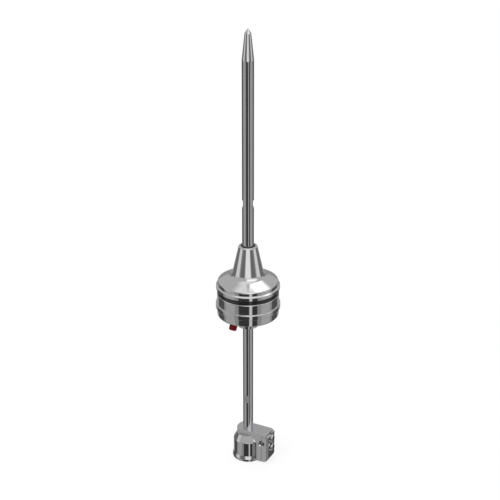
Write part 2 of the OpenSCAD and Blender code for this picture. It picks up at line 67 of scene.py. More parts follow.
class Slot(Enum):
    """Material slots of the record."""

    POLISHED = "polished_steel"
    PLAIN = "plain_steel"
    BRASS = "brass"
    POLYMER = "black_polymer"
    RUBBER = "black_rubber"
    RED = "red_plastic"
    LAMINATE = "tray_laminate"
    RESIN = "potting_resin"
    SLEEVE = "capacitor_sleeve"


class Nodes:
    """Short hand for building a node tree."""

    def __init__(self, tree: bpy.types.NodeTree) -> None:
        """Keep the tree and clear it.

        Args:
            tree: node tree to build in.
        """
        self.tree = tree
        tree.nodes.clear()

    def add(self, kind: str, inputs: dict | None = None, **settings: object) -> bpy.types.Node:
        """Add one node.

        Args:
            kind: node type name.
            inputs: values or sockets by input name or number.
            settings: attributes to set on the node.

        Returns:
            The new node.
        """
        node = self.tree.nodes.new(kind)
        for name, value in settings.items():
            setattr(node, name, value)
        for key, value in (inputs or {}).items():
            if isinstance(value, bpy.types.NodeSocket):
                self.tree.links.new(value, node.inputs[key])
            else:
                node.inputs[key].default_value = value
        return node

    def math(self, operation: str, *values: object) -> bpy.types.NodeSocket:
        """Add a Math node.

        Args:
            operation: Math operation name.
            values: numbers or sockets.

        Returns:
            The result socket.
        """
        return self.add("ShaderNodeMath", dict(enumerate(values)), operation=operation).outputs[0]

    def span(self, value: object, low: float, high: float, to_low: float, to_high: float,
             kind: str = "LINEAR") -> bpy.types.NodeSocket:
        """Map a value from one span to another.

        Args:
            value: socket to map.
            low: start of the source span.
            high: end of the source span.
            to_low: result at the start.
            to_high: result at the end.
            kind: interpolation name.

        Returns:
            The mapped socket.
        """
        sockets = {"Value": value, "From Min": low, "From Max": high, "To Min": to_low, "To Max": to_high}
        return self.add("ShaderNodeMapRange", sockets, interpolation_type=kind).outputs["Result"]

    def blend(self, factor: object, first: object, second: object,
              kind: str = "FLOAT") -> bpy.types.NodeSocket:
        """Mix two numbers or colours.

        Args:
            factor: mixing socket or number.
            first: value at factor 0.
            second: value at factor 1.
            kind: FLOAT or RGBA.

        Returns:
            The mixed socket.
        """
        node = self.tree.nodes.new("ShaderNodeMix")
        node.data_type = kind
        wanted = {"Factor": factor, "A": first, "B": second}
        kinds = {"FLOAT": "VALUE", "RGBA": "RGBA"}
        for socket in node.inputs:
            if not socket.enabled or socket.name not in wanted:
                continue
            if socket.name != "Factor" and socket.type != kinds[kind]:
                continue
            value = wanted[socket.name]
            if isinstance(value, bpy.types.NodeSocket):
                self.tree.links.new(value, socket)
            else:
                socket.default_value = value
        return next(s for s in node.outputs if s.enabled and s.type == kinds[kind])


def new_material(name: str) -> tuple[bpy.types.Material, Nodes, bpy.types.Node]:
    """Start a material with one Principled shader.

    Args:
        name: material name.

    Returns:
        The material, its node builder and the shader.
    """
    material = bpy.data.materials.new(name)
    material.use_nodes = True
    nodes = Nodes(material.node_tree)
    shader = nodes.add("ShaderNodeBsdfPrincipled")
    nodes.add("ShaderNodeOutputMaterial", {"Surface": shader.outputs["BSDF"]})
    return material, nodes, shader


@dataclass(frozen=True)
class SteelFinish:
    """Stainless steel with polishing marks, faint smears and a slight change of tone."""

    name: str
    tone: float
    roughness: float
    grain: Grain
    marks: float
    smears: float
    smear_scale: float = 55.0
    mark_bump: float = 0.02
    mark_depth: float = 0.01

    def material(self) -> bpy.types.Material:
        """Build the steel's node material.

        Returns:
            The material.
        """
        material, nodes, shader = new_material(self.name)
        place = nodes.add("ShaderNodeTexCoord").outputs["Object"]
        along = nodes.add("ShaderNodeMapping", {"Vector": place, "Scale": self.grain.value})
        marks = nodes.add("ShaderNodeTexNoise", {"Vector": along.outputs[0], "Scale": 1.0, "Detail": 4.0})
        smears = nodes.add("ShaderNodeTexNoise", {"Vector": place, "Scale": self.smear_scale,
                                                  "Detail": 5.0, "Distortion": 0.6})
        rough_base = nodes.span(smears.outputs["Fac"], 0.35, 0.7,
                                self.roughness, self.roughness + self.smears)
        rough = nodes.math("MULTIPLY_ADD", marks.outputs["Fac"], self.marks, rough_base)
        light = (self.tone, self.tone, self.tone * 1.01, 1.0)
        dark = (self.tone * 0.93, self.tone * 0.93, self.tone * 0.95, 1.0)
        colour = nodes.blend(smears.outputs["Fac"], light, dark, "RGBA")
        bump = nodes.add("ShaderNodeBump", {"Height": marks.outputs["Fac"], "Strength": self.mark_bump,
                                            "Distance": self.mark_depth * MM})
        shader.inputs["Metallic"].default_value = 1.0
        nodes.tree.links.new(colour, shader.inputs["Base Color"])
        nodes.tree.links.new(rough, shader.inputs["Roughness"])
        nodes.tree.links.new(bump.outputs["Normal"], shader.inputs["Normal"])
        return material


@dataclass(frozen=True)
class MouldedFinish:
    """Moulded polymer, resin or rubber with a fine grain and cloudy tone."""

    name: str
    light: tuple[float, float, float]
    dark: tuple[float, float, float]
    roughness: float
    grain_scale: float
    grain_height: float
    specular: float = 0.5

    def material(self) -> bpy.types.Material:
        """Build the polymer's node material.

        Returns:
            The material.
        """
        material, nodes, shader = new_material(self.name)
        place = nodes.add("ShaderNodeTexCoord").outputs["Object"]
        cloud = nodes.add("ShaderNodeTexNoise", {"Vector": place, "Scale": 160.0, "Detail": 3.0})
        grain = nodes.add("ShaderNodeTexNoise", {"Vector": place, "Scale": self.grain_scale, "Detail": 2.0})
        colour = nodes.blend(cloud.outputs["Fac"], (*self.light, 1.0), (*self.dark, 1.0), "RGBA")
        rough = nodes.span(cloud.outputs["Fac"], 0.3, 0.7, self.roughness, self.roughness * 1.4)
        bump = nodes.add("ShaderNodeBump", {"Height": grain.outputs["Fac"], "Strength": 0.3,
                                            "Distance": self.grain_height * MM})
        shader.inputs["Specular IOR Level"].default_value = self.specular
        nodes.tree.links.new(colour, shader.inputs["Base Color"])
        nodes.tree.links.new(rough, shader.inputs["Roughness"])
        nodes.tree.links.new(bump.outputs["Normal"], shader.inputs["Normal"])
        return material


@dataclass(frozen=True)
class BrassFinish:
    """Turned brass with rings and a warm, slightly dulled tone."""

    name: str = "turned_brass"
    bright: tuple[float, float, float] = (0.78, 0.58, 0.26)
    dull: tuple[float, float, float] = (0.6, 0.42, 0.18)

    def material(self) -> bpy.types.Material:
        """Build the brass's node material.

        Returns:
            The material.
        """
        material, nodes, shader = new_material(self.name)
        place = nodes.add("ShaderNodeTexCoord").outputs["Object"]
        cloud = nodes.add("ShaderNodeTexNoise", {"Vector": place, "Scale": 240.0, "Detail": 4.0})
        colour = nodes.blend(cloud.outputs["Fac"], (*self.bright, 1.0), (*self.dull, 1.0), "RGBA")
        rough = nodes.span(cloud.outputs["Fac"], 0.3, 0.7, 0.18, 0.34)
        shader.inputs["Metallic"].default_value = 1.0
        nodes.tree.links.new(colour, shader.inputs["Base Color"])
        nodes.tree.links.new(rough, shader.inputs["Roughness"])
        return material


class Finishes:
    """All finishes of the part, each made once."""

    def __init__(self) -> None:
        """Build every material."""
        self.rod = SteelFinish("drawn_rod_steel", 0.62, 0.06, Grain.LENGTH, 0.012, 0.015).material()
        self.turned = SteelFinish("turned_steel", 0.66, 0.015, Grain.RINGS, 0.008, 0.01).material()
        self.clamp = SteelFinish("clamp_steel", 0.62, 0.05, Grain.EVEN, 0.03, 0.03).material()
        self.bolt = SteelFinish("bolt_steel", 0.66, 0.08, Grain.EVEN, 0.04, 0.04).material()
        self.inner = SteelFinish("plain_inner_steel", 0.55, 0.25, Grain.RINGS, 0.08, 0.08).material()
        self.brass = BrassFinish().material()
        self.polymer = MouldedFinish("black_polymer", (0.01, 0.01, 0.011), (0.015, 0.015, 0.016),
                                     0.08, 900.0, 0.01).material()
        self.rubber = MouldedFinish("black_rubber", (0.02, 0.02, 0.02), (0.035, 0.035, 0.034),
                                    0.55, 1500.0, 0.05).material()
        self.red = MouldedFinish("red_plastic", (0.13, 0.001, 0.004), (0.09, 0.001, 0.003),
                                 0.3, 1100.0, 0.03, 0.15).material()
        self.laminate = MouldedFinish("green_laminate", (0.14, 0.2, 0.09), (0.1, 0.15, 0.06),
                                      0.4, 2200.0, 0.02).material()
        self.resin = MouldedFinish("potting_resin", (0.04, 0.045, 0.05), (0.06, 0.065, 0.07),
                                   0.35, 500.0, 0.05).material()
        self.sleeve = MouldedFinish("capacitor_sleeve", (0.06, 0.14, 0.34), (0.09, 0.18, 0.4),
                                    0.25, 700.0, 0.03).material()


class Outline:
    """Outline of a turned piece in radius and height, in millimetres, with softened corners."""

    def __init__(self) -> None:
        """Start an empty outline."""
        self._corners: list[tuple[Vector, float]] = []

    def corner(self, r: float, z: float, soft: float = EDGE_SOFT) -> "Outline":
        """Add a corner.

        Args:
            r: radius.
            z: height.
            soft: rounding of the corner.

        Returns:
            The outline itself.
        """
        self._corners.append((Vector((r, z)), soft))
        return self

    def arc(self, center: tuple[float, float], r: float, start: float, end: float) -> "Outline":
        """Add a round stretch.

        Args:
            center: radius and height of the arc's middle.
            r: radius of the arc.
            start: first angle in degrees.
            end: last angle in degrees.

        Returns:
            The outline itself.
        """
        steps = max(3, math.ceil(abs(end - start) / (ARC_STEP_DEG / 2)))
        for i in range(steps + 1):
            a = math.radians(start + (end - start) * i / steps)
            self.corner(center[0] + r * math.cos(a), center[1] + r * math.sin(a), 0.0)
        return self

    def points(self, closed: bool) -> list[Vector]:
        """Work out the outline's points.

        Args:
            closed: whether the outline joins its own start.

        Returns:
            Points with rounded corners and extra points near the ends of straight stretches.
        """
        count = len(self._corners)
        rounded: list[Vector] = []
        for i, (here, soft) in enumerate(self._corners):
            inside = closed or 0 < i < count - 1
            before = self._corners[i - 1][0]
            after = self._corners[(i + 1) % count][0]
            rounded.extend(round_corner(before, here, after, soft) if inside and soft else [here])
        return with_end_points(rounded, closed)


def round_corner(before: Vector, here: Vector, after: Vector, soft: float) -> list[Vector]:
    """Points of one rounded corner.

    Args:
        before: corner before it.
        here: the corner.
        after: corner after it.
        soft: wanted rounding.

    Returns:
        Points along the rounding.
    """
    to_before = before - here
    to_after = after - here
    room = 0.45 * min(to_before.length, to_after.length)
    to_before.normalize()
    to_after.normalize()
    half = to_before.angle(to_after) / 2
    run = min(soft / math.tan(half), room)
    radius = run * math.tan(half)
    middle = here + (to_before + to_after).normalized() * (radius / math.sin(half))
    first = here + to_before * run - middle
    turn = math.pi - 2 * half
    sign = 1.0 if to_before.cross(to_after) < 0 else -1.0
    steps = max(2, math.ceil(math.degrees(turn) / ARC_STEP_DEG))
    return [middle + Matrix.Rotation(sign * turn * i / steps, 2) @ first for i in range(steps + 1)]


def with_end_points(points: Sequence[Vector], closed: bool) -> list[Vector]:
    """Hold straight stretches flat with a point near each of their ends.

    Args:
        points: outline points.
        closed: whether the outline joins its own start.

    Returns:
        The points with the extra ones.
    """
    near, long_enough = 0.35, 1.6
    result: list[Vector] = []
    count = len(points)
    for i, here in enumerate(points):
        result.append(here)
        if i == count - 1 and not closed:
            break
        step = points[(i + 1) % count] - here
        if step.length > long_enough:
            ahead = step.normalized() * near
            result.extend([here + ahead, here + step - ahead])
    return result


def lathe(name: str, outline: Outline, closed: bool) -> bpy.types.Mesh:
    """Turn an outline about the upright axis.

    Args:
        name: mesh name.
        outline: outline in millimetres.
        closed: True for a ring, False where both ends lie on the axis.

    Returns:
        A closed mesh in metres.
    """
    bm = bmesh.new()
    rings: list[list[bmesh.types.BMVert]] = []
    for point in outline.points(closed):
        if point.x < 1e-6:
            rings.append([bm.verts.new((0.0, 0.0, point.y * MM))])
            continue
        turns = (2 * math.pi * i / TURN_SEGMENTS for i in range(TURN_SEGMENTS))
        rings.append([bm.verts.new((point.x * math.cos(a) * MM, point.x * math.sin(a) * MM, point.y * MM))
                      for a in turns])
    pairs = list(zip(rings, rings[1:] + (rings[:1] if closed else [])))
    for low, high in pairs[:None if closed else len(rings) - 1]:
        for i in range(TURN_SEGMENTS):
            j = (i + 1) % TURN_SEGMENTS
            loop = [low[i % len(low)], low[j % len(low)], high[j % len(high)], high[i % len(high)]]
            unique = list(dict.fromkeys(loop))
            if len(unique) > 2:
                bm.faces.new(unique)
    return solid_mesh(name, bm)


def solid_mesh(name: str, bm: bmesh.types.BMesh) -> bpy.types.Mesh:
    """Close a bmesh into a smooth-shaded mesh with faces outwards.

    Args:
        name: mesh name.
        bm: bmesh to use up.

    Returns:
        The mesh.
    """
    bmesh.ops.remove_doubles(bm, verts=bm.verts, dist=1e-7)
    bmesh.ops.recalc_face_normals(bm, faces=bm.faces)
    mesh = bpy.data.meshes.new(name)
    bm.to_mesh(mesh)
    bm.free()
    mesh.shade_smooth()
    return mesh


def stacked(name: str, loops: Sequence[Sequence[Vector]]) -> bpy.types.Mesh:
    """Skin a stack of loops with the same number of points and cap both ends.

    Args:
        name: mesh name.
        loops: loops of points in millimetres.

    Returns:
        A closed mesh in metres.
    """
    bm = bmesh.new()
    rings = [[bm.verts.new(p * MM) for p in loop] for loop in loops]
    size = len(rings[0])
    for low, high in zip(rings, rings[1:]):
        for i in range(size):
            j = (i + 1) % size
            bm.faces.new([low[i], low[j], high[j], high[i]])
    bm.faces.new(rings[0])
    bm.faces.new(rings[-1])
    return solid_mesh(name, bm)


def new_object(name: str, mesh: bpy.types.Mesh) -> bpy.types.Object:
    """Link a mesh into the scene as an object at the origin."""
    item = bpy.data.objects.new(name, mesh)
    bpy.context.scene.collection.objects.link(item)
    return item


def settle(item: bpy.types.Object) -> bpy.types.Object:
    """Turn an object's modifiers into a plain mesh.

    Args:
        item: object with modifiers.

    Returns:
        The same object with the result as its mesh.
    """
    graph = bpy.context.evaluated_depsgraph_get()
    mesh = bpy.data.meshes.new_from_object(item.evaluated_get(graph), depsgraph=graph)
    item.modifiers.clear()
    item.data = mesh
    return item


def carve(item: bpy.types.Object, operation: str, tools: Iterable[bpy.types.Mesh]) -> bpy.types.Object:
    """Join, cut or intersect an object with tool meshes.

    Args:
        item: object to change.
        operation: UNION, DIFFERENCE or INTERSECT.
        tools: meshes to use.

    Returns:
        The changed object.
    """
    for mesh in tools:
        tool = new_object("tool", mesh)
        step = item.modifiers.new("carve", "BOOLEAN")
        step.operation = operation
        step.solver = "MANIFOLD"
        step.object = tool
        settle(item)
        bpy.data.objects.remove(tool)
    return item


def even_shading(item: bpy.types.Object, sharp_deg: float = 32.0) -> bpy.types.Object:
    """Keep flats flat and rounds smooth.

    Args:
        item: object to shade.
        sharp_deg: edges over this angle stay sharp.

    Returns:
        The shaded object.
    """
    bm = bmesh.new()
    bm.from_mesh(item.data)
    bmesh.ops.remove_doubles(bm, verts=bm.verts, dist=2e-6)
    bmesh.ops.dissolve_degenerate(bm, edges=bm.edges, dist=1e-6)
    bm.to_mesh(item.data)
    bm.free()
    item.data.shade_smooth()
    item.data.set_sharp_from_angle(angle=math.radians(sharp_deg))
    weigh = item.modifiers.new("even", "WEIGHTED_NORMAL")
    weigh.keep_sharp = True
    weigh.weight = 50
    return settle(item)


def moved(mesh: bpy.types.Mesh, place: Matrix) -> bpy.types.Mesh:
    """Apply a place to a mesh."""
    mesh.transform(place)
    return mesh


def shift(x: float = 0.0, y: float = 0.0, z: float = 0.0) -> Matrix:
    """Shift by millimetres."""
    return Matrix.Translation(Vector((x, y, z)) * MM)


def turn(degrees: float, axis: str) -> Matrix:
    """Turn by degrees about a named axis."""
    return Matrix.Rotation(math.radians(degrees), 4, axis)


def bar(r: float, low: float, high: float) -> bpy.types.Mesh:
    """Plain round cutter between two heights."""
    outline = Outline().corner(0, low, 0).corner(r, low, 0).corner(r, high, 0).corner(0, high, 0)
    return lathe("cutter", outline, False)


def block(low: tuple[float, float, float], high: tuple[float, float, float]) -> bpy.types.Mesh:
    """Plain square cutter between two corners in millimetres."""
    (x0, y0, z0), (x1, y1, z1) = low, high
    base = [(x0, y0), (x1, y0), (x1, y1), (x0, y1)]
    return stacked("cutter", [[Vector((x, y, z)) for x, y in base] for z in (z0, z1)])


def spanner_cuts(d: float, across: float, z: float, height: float, facing: float) -> list[bpy.types.Mesh]:
    """Cutters that leave a pair of flats on a rod.

    Args:
        d: rod diameter.
        across: width across the flats.
        z: middle height.
        height: height of the flats.
        facing: turn about the axis in degrees.

    Returns:
        Two cutter meshes.
    """
    low = (across / 2, -d, z - height / 2)
    high = (across / 2 + d, d, z + height / 2)
    return [moved(block(low, high), turn(facing + side, "Z")) for side in (0.0, 180.0)]


def round_gap(r: float, depth: float) -> float:
    """Distance that a rounded edge lies inside its square corner.

    Args:
        r: radius of the rounding.
        depth: distance from the face that the rounding starts in.

    Returns:
        The distance, 0 past the rounding.
    """
    reach = min(max(r - depth, 0.0), r)
    return r - math.sqrt(r * r - reach * reach)


def node_box(node: str) -> tuple[Vector, Vector]:
    """Corners of a solid in millimetres."""
    low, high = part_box(node)
    return low / MM, high / MM


def dress(item: bpy.types.Object, material: bpy.types.Material, slot: Slot, *nodes: str) -> bpy.types.Object:
    """Give a piece its finish and let it stand for its solids.

    Args:
        item: the piece.
        material: its finish.
        slot: not used.
        nodes: solids that it stands for.

    Returns:
        The piece.
    """
    item.data.materials.clear()
    item.data.materials.append(material)
    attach(item, BODY)
    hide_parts(*nodes)
    LOG.info("%s: %d faces for %s", item.name, len(item.data.polygons), ", ".join(nodes))
    return item


class CopyTree:
    """Geometry Nodes tree that copies a piece along a row or round the axis."""

    def __init__(self, name: str, around: bool) -> None:
        """Build the tree.

        Args:
            name: tree name.
            around: True for copies round the axis, False for a row.
        """
        self.tree = bpy.data.node_groups.new(name, "GeometryNodeTree")
        self.keys: dict[str, str] = {}
        self._socket("Geometry", "NodeSocketGeometry", "INPUT")
        for label, kind in (("Count", "NodeSocketInt"), ("Step", "NodeSocketVector"),
                            ("Turn", "NodeSocketFloat"), ("Finish", "NodeSocketMaterial")):
            self._socket(label, kind, "INPUT")
        self._socket("Geometry", "NodeSocketGeometry", "OUTPUT")
        nodes = Nodes(self.tree)
        given = nodes.add("NodeGroupInput").outputs
        step = (0.0, 0.0, 0.0) if around else given["Step"]
        line = nodes.add("GeometryNodeMeshLine", {"Count": given["Count"], "Offset": step}, mode="OFFSET")
        angle = nodes.math("MULTIPLY", nodes.add("GeometryNodeInputIndex").outputs[0], given["Turn"])
        spin = nodes.add("ShaderNodeCombineXYZ", {"Z": angle}).outputs[0]
        copies = nodes.add("GeometryNodeInstanceOnPoints", {"Points": line.outputs["Mesh"],
                                                            "Instance": given["Geometry"], "Rotation": spin})
        real = nodes.add("GeometryNodeRealizeInstances", {"Geometry": copies.outputs["Instances"]})
        coated = nodes.add("GeometryNodeSetMaterial", {"Geometry": real.outputs[0],
                                                       "Material": given["Finish"]})
        nodes.add("NodeGroupOutput", {"Geometry": coated.outputs[0]})

    def _socket(self, label: str, kind: str, way: str) -> None:
        """Add a socket to the tree and keep an input's identifier."""
        item = self.tree.interface.new_socket(label, in_out=way, socket_type=kind)
        if way == "INPUT":
            self.keys[label] = item.identifier

    def run(self, item: bpy.types.Object, count: int, material: bpy.types.Material,
            step: Vector | None = None, turn_deg: float = 0.0) -> bpy.types.Object:
        """Copy an object's mesh and keep the result as a plain mesh.

        Args:
            item: object that holds one copy.
            count: number of copies.
            material: finish of the copies.
            step: shift from copy to copy in millimetres.
            turn_deg: turn from copy to copy in degrees.

        Returns:
            The object with all its copies.
        """
        work = item.modifiers.new("copies", "NODES")
        work.node_group = self.tree
        work[self.keys["Count"]] = count
        work[self.keys["Step"]] = tuple((step or Vector()) * MM)
        work[self.keys["Turn"]] = math.radians(turn_deg)
        work[self.keys["Finish"]] = material
        return settle(item)


@dataclass
class CaptureRod:
    """Pointed rod over the head."""

    taper_h: float = 39.0
    nose_r: float = 4.9
    nose_h: float = 7.0
    point_r: float = 0.4
    flat_across: float = 15.0
    flat_rise: float = 68.5
    flat_h: float = 12.5
    flat_turn: float = 27.0
    hole_r: float = 6.05
    hole_h: float = 29.0
    end_bevel: float = 1.0

    def build(self, finishes: Finishes) -> None:
        """Turn the rod, cut its flats and dress it.

        Args:
            finishes: the part's finishes.
        """
        low, high = node_box("capture_rod")
        head_top = node_box("upper_housing")[1].z
        r = high.x
        nose_z = high.z - self.nose_h
        outline = Outline().corner(0, low.z + self.hole_h).corner(self.hole_r, low.z + self.hole_h)
        outline.corner(self.hole_r, low.z).corner(r - self.end_bevel, low.z).corner(r, low.z + self.end_bevel)
        outline.corner(r, nose_z - self.taper_h, 0.8).corner(self.nose_r, nose_z, 0.8)
        outline.corner(self.point_r, high.z, 0.3).corner(0, high.z)
        item = new_object("capture_rod_piece", lathe("capture_rod", outline, False))
        cuts = spanner_cuts(2 * r, self.flat_across, head_top + self.flat_rise, self.flat_h, self.flat_turn)
        even_shading(carve(item, "DIFFERENCE", cuts))
        dress(item, finishes.rod, Slot.POLISHED, "capture_rod")


@dataclass
class UpperHousing:
    """Cone and dome over the black ring, with the bush in its bore."""

    skirt_swell: float = 0.9
    ledge_rise: float = 6.6
    ledge_step: float = 1.6
    shoulder_rise: float = 4.3
    shoulder_r: float = 2.2
    dome_slope: float = 24.6
    dome_bulge: float = 4.0
    dome_bend_r: float = 158.0
    cone_base_r: float = 24.7
    cone_top_r: float = 14.1
    root_r: float = 21.0
    root_lift: float = 0.2
    cone_bevel: float = 1.5
    dome_wall: float = 4.0
    bore_r: float = 44.0
    bush_bore_r: float = 11.1
    bush_rod_r: float = 9.1
    bush_play: float = 0.1
    roof_r: float = 17.0

    def build(self, finishes: Finishes) -> None:
        """Turn the housing and its bush and dress them.

        Args:
            finishes: the part's finishes.
        """
        low, high = node_box("upper_housing")
        slope = math.radians(self.dome_slope)
        wall_r = high.y - self.ledge_step
        ledge_z = low.z + self.ledge_rise
        shoulder_z = ledge_z + self.shoulder_rise
        start = Vector((wall_r - self.shoulder_r * (1 - math.sin(slope)),
                        shoulder_z + self.shoulder_r * math.cos(slope)))

        def dome_at(r: float) -> float:
            """Height of the dome's slope at a radius."""
            return start.y + (start.x - r) * math.tan(slope)

        cone_z = dome_at(self.cone_base_r)
        lean = math.degrees(math.atan2(self.cone_base_r - self.cone_top_r, high.z - cone_z))
        bevel_r = self.cone_top_r + self.cone_bevel * math.tan(math.radians(lean))
        roof_z = dome_at(self.roof_r) - self.dome_wall
        skirt_r = high.y + self.skirt_swell
        outline = Outline().corner(self.bore_r, low.z).corner(skirt_r, low.z, 0.2)
        outline.corner(skirt_r, ledge_z - self.ledge_step, 0.4).corner(wall_r, ledge_z, 0.3)
        rim_turn = 90 - self.dome_slope - self.dome_bulge
        lean_out = Vector((math.cos(math.radians(rim_turn)), math.sin(math.radians(rim_turn))))
        rim = Vector((wall_r - self.shoulder_r, shoulder_z)) + self.shoulder_r * lean_out
        outline.arc((wall_r - self.shoulder_r, shoulder_z), self.shoulder_r, 0, rim_turn)
        outline.arc(tuple(rim - self.dome_bend_r * lean_out), self.dome_bend_r, rim_turn,
                    90 - self.dome_slope - self.dome_bulge / 4)
        outline.corner(self.cone_base_r, cone_z + self.root_lift, self.root_r)
        outline.corner(bevel_r, high.z - self.cone_bevel, 0.4)
        outline.corner(self.cone_top_r - self.cone_bevel, high.z, 0.4)
        outline.corner(self.bush_bore_r, high.z).corner(self.bush_bore_r, roof_z).corner(self.roof_r, roof_z)
        outline.corner(self.bore_r, dome_at(self.bore_r) - self.dome_wall)
        item = new_object("upper_housing_piece", lathe("upper_housing", outline, True))
        dress(even_shading(item, TURNED_SHARP_DEG), finishes.turned, Slot.POLISHED, "upper_housing")
        self.build_bush(finishes, roof_z)

    def build_bush(self, finishes: Finishes, roof_z: float) -> None:
        """Turn the black bush whose lip shows on the cone.

        Args:
            finishes: the part's finishes.
            roof_z: height of the roof that its flange meets.
        """
        low, high = node_box("upper_bush")
        bore_r, sleeve_r = self.bush_rod_r, self.bush_bore_r - self.bush_play
        outline = Outline().corner(bore_r, low.z).corner(high.x, low.z).corner(high.x, roof_z)
        outline.corner(sleeve_r, roof_z).corner(sleeve_r, high.z, 0.5).corner(bore_r, high.z, 0.3)
        item = new_object("upper_bush_piece", lathe("upper_bush", outline, True))
        dress(even_shading(item, TURNED_SHARP_DEG), finishes.polymer, Slot.POLYMER, "upper_bush")


@dataclass
class InsulatorRing:
    """Black ring between the two housings, with spigots and a web for the spark pins."""

    r: float = 47.9
    soft: float = 0.2
    lean: float = 0.25
    spigot_h: float = 7.5
    spigot_r: float = 43.9
    spigot_bore_r: float = 40.9
    web_r: float = 34.9
    web_h: float = 4.0

    def build(self, finishes: Finishes) -> None:
        """Turn the ring and dress it.

        Args:
            finishes: the part's finishes.
        """
        low, high = node_box("insulator_ring")
        foot, top = low.z + self.spigot_h, high.z - self.spigot_h
        web = (foot + top - self.web_h) / 2
        outline = Outline().corner(self.spigot_bore_r, low.z)
        outline.corner(self.spigot_r, low.z).corner(self.spigot_r, foot)
        outline.corner(self.r - self.lean, foot, self.soft).corner(self.r, top, self.soft)
        outline.corner(self.spigot_r, top).corner(self.spigot_r, high.z).corner(self.spigot_bore_r, high.z)
        outline.corner(self.spigot_bore_r, web + self.web_h).corner(self.web_r, web + self.web_h)
        outline.corner(self.web_r, web).corner(self.spigot_bore_r, web)
        item = new_object("insulator_ring_piece", lathe("insulator_ring", outline, True))
        dress(even_shading(item, TURNED_SHARP_DEG), finishes.polymer, Slot.POLYMER, "insulator_ring")


@dataclass
class LowerHousing:
    """Cup under the black ring, with a plain band, a round lip and a dished underside."""

    stud_hole_r: float = 6.1
    land_r: float = 17.0
    dish_slope: float = 22.2
    cup_r: float = 47.4
    cup_soft: float = 3.0
    cup_h: float = 11.6
    lip_h: float = 8.0
    lip_soft: float = 2.0
    band_r: float = 47.5
    band_soft: float = 2.0
    bore_r: float = 44.0
    floor_t: float = 4.0
    tray_rise: float = 14.0
    tray_ledge_r: float = 38.0

    def dish_at(self, r: float, foot: float) -> float:
        """Height of the dished underside at a radius, above the land's height."""
        return foot + (r - self.land_r) * math.tan(math.radians(self.dish_slope))

    def build(self, finishes: Finishes) -> None:
        """Turn the cup and dress it.

        Args:
            finishes: the part's finishes.
        """
        low, high = node_box("lower_housing")
        foot, floor_z = low.z, low.z + self.floor_t
        tray_z = floor_z + self.tray_rise
        cup_z = self.dish_at(self.cup_r, foot)
        lip_z = cup_z + self.cup_h
        band_z = lip_z + self.lip_h
        ledge_foot = self.dish_at(self.tray_ledge_r, foot) + self.floor_t
        outline = Outline().corner(self.stud_hole_r, foot).corner(self.land_r, foot, 1.0)
        outline.corner(self.cup_r, cup_z, self.cup_soft).corner(self.cup_r, lip_z, 0.3)
        outline.corner(high.x, lip_z, self.lip_soft).corner(high.x, band_z, self.lip_soft)
        outline.corner(self.band_r, band_z, 0.3).corner(self.band_r, high.z, self.band_soft)
        outline.corner(self.bore_r, high.z).corner(self.bore_r, tray_z)
        outline.corner(self.tray_ledge_r, tray_z).corner(self.tray_ledge_r, ledge_foot)
        outline.corner(self.land_r, floor_z).corner(self.stud_hole_r, floor_z)
        item = new_object("lower_housing_piece", lathe("lower_housing", outline, True))
        dress(even_shading(item, TURNED_SHARP_DEG), finishes.turned, Slot.POLISHED, "lower_housing")


@dataclass
class Stem:
    """Lower rod and the round collar that carries the head."""

    flat_across: float = 13.0
    flat_rise: float = 54.5
    flat_h: float = 12.5
    flat_turn: float = 96.0
    hole_r: float = 6.05
    hole_h: float = 29.0
    end_bevel: float = 1.0
    collar_bore_r: float = 8.05
    collar_soft: float = 1.5

    def build(self, finishes: Finishes) -> None:
        """Turn the rod and the collar and dress them.

        Args:
            finishes: the part's finishes.
        """
        low, high = node_box("lower_rod")
        clamp_top = node_box("clamp_body")[1].z
        r = high.x
        outline = Outline().corner(0, low.z).corner(r - self.end_bevel, low.z)
        outline.corner(r, low.z + self.end_bevel).corner(r, high.z).corner(self.hole_r, high.z)
        outline.corner(self.hole_r, high.z - self.hole_h).corner(0, high.z - self.hole_h)
        item = new_object("lower_rod_piece", lathe("lower_rod", outline, False))
        cuts = spanner_cuts(2 * r, self.flat_across, clamp_top + self.flat_rise, self.flat_h, self.flat_turn)
        even_shading(carve(item, "DIFFERENCE", cuts))
        dress(item, finishes.rod, Slot.POLISHED, "lower_rod")
        low, high = node_box("collar")
        outline = Outline().corner(self.collar_bore_r, low.z).corner(high.x, low.z, self.collar_soft)
        outline.corner(high.x, high.z).corner(self.collar_bore_r, high.z)
        item = new_object("collar_piece", lathe("collar", outline, True))
        dress(even_shading(item, TURNED_SHARP_DEG), finishes.turned, Slot.POLISHED, "collar")


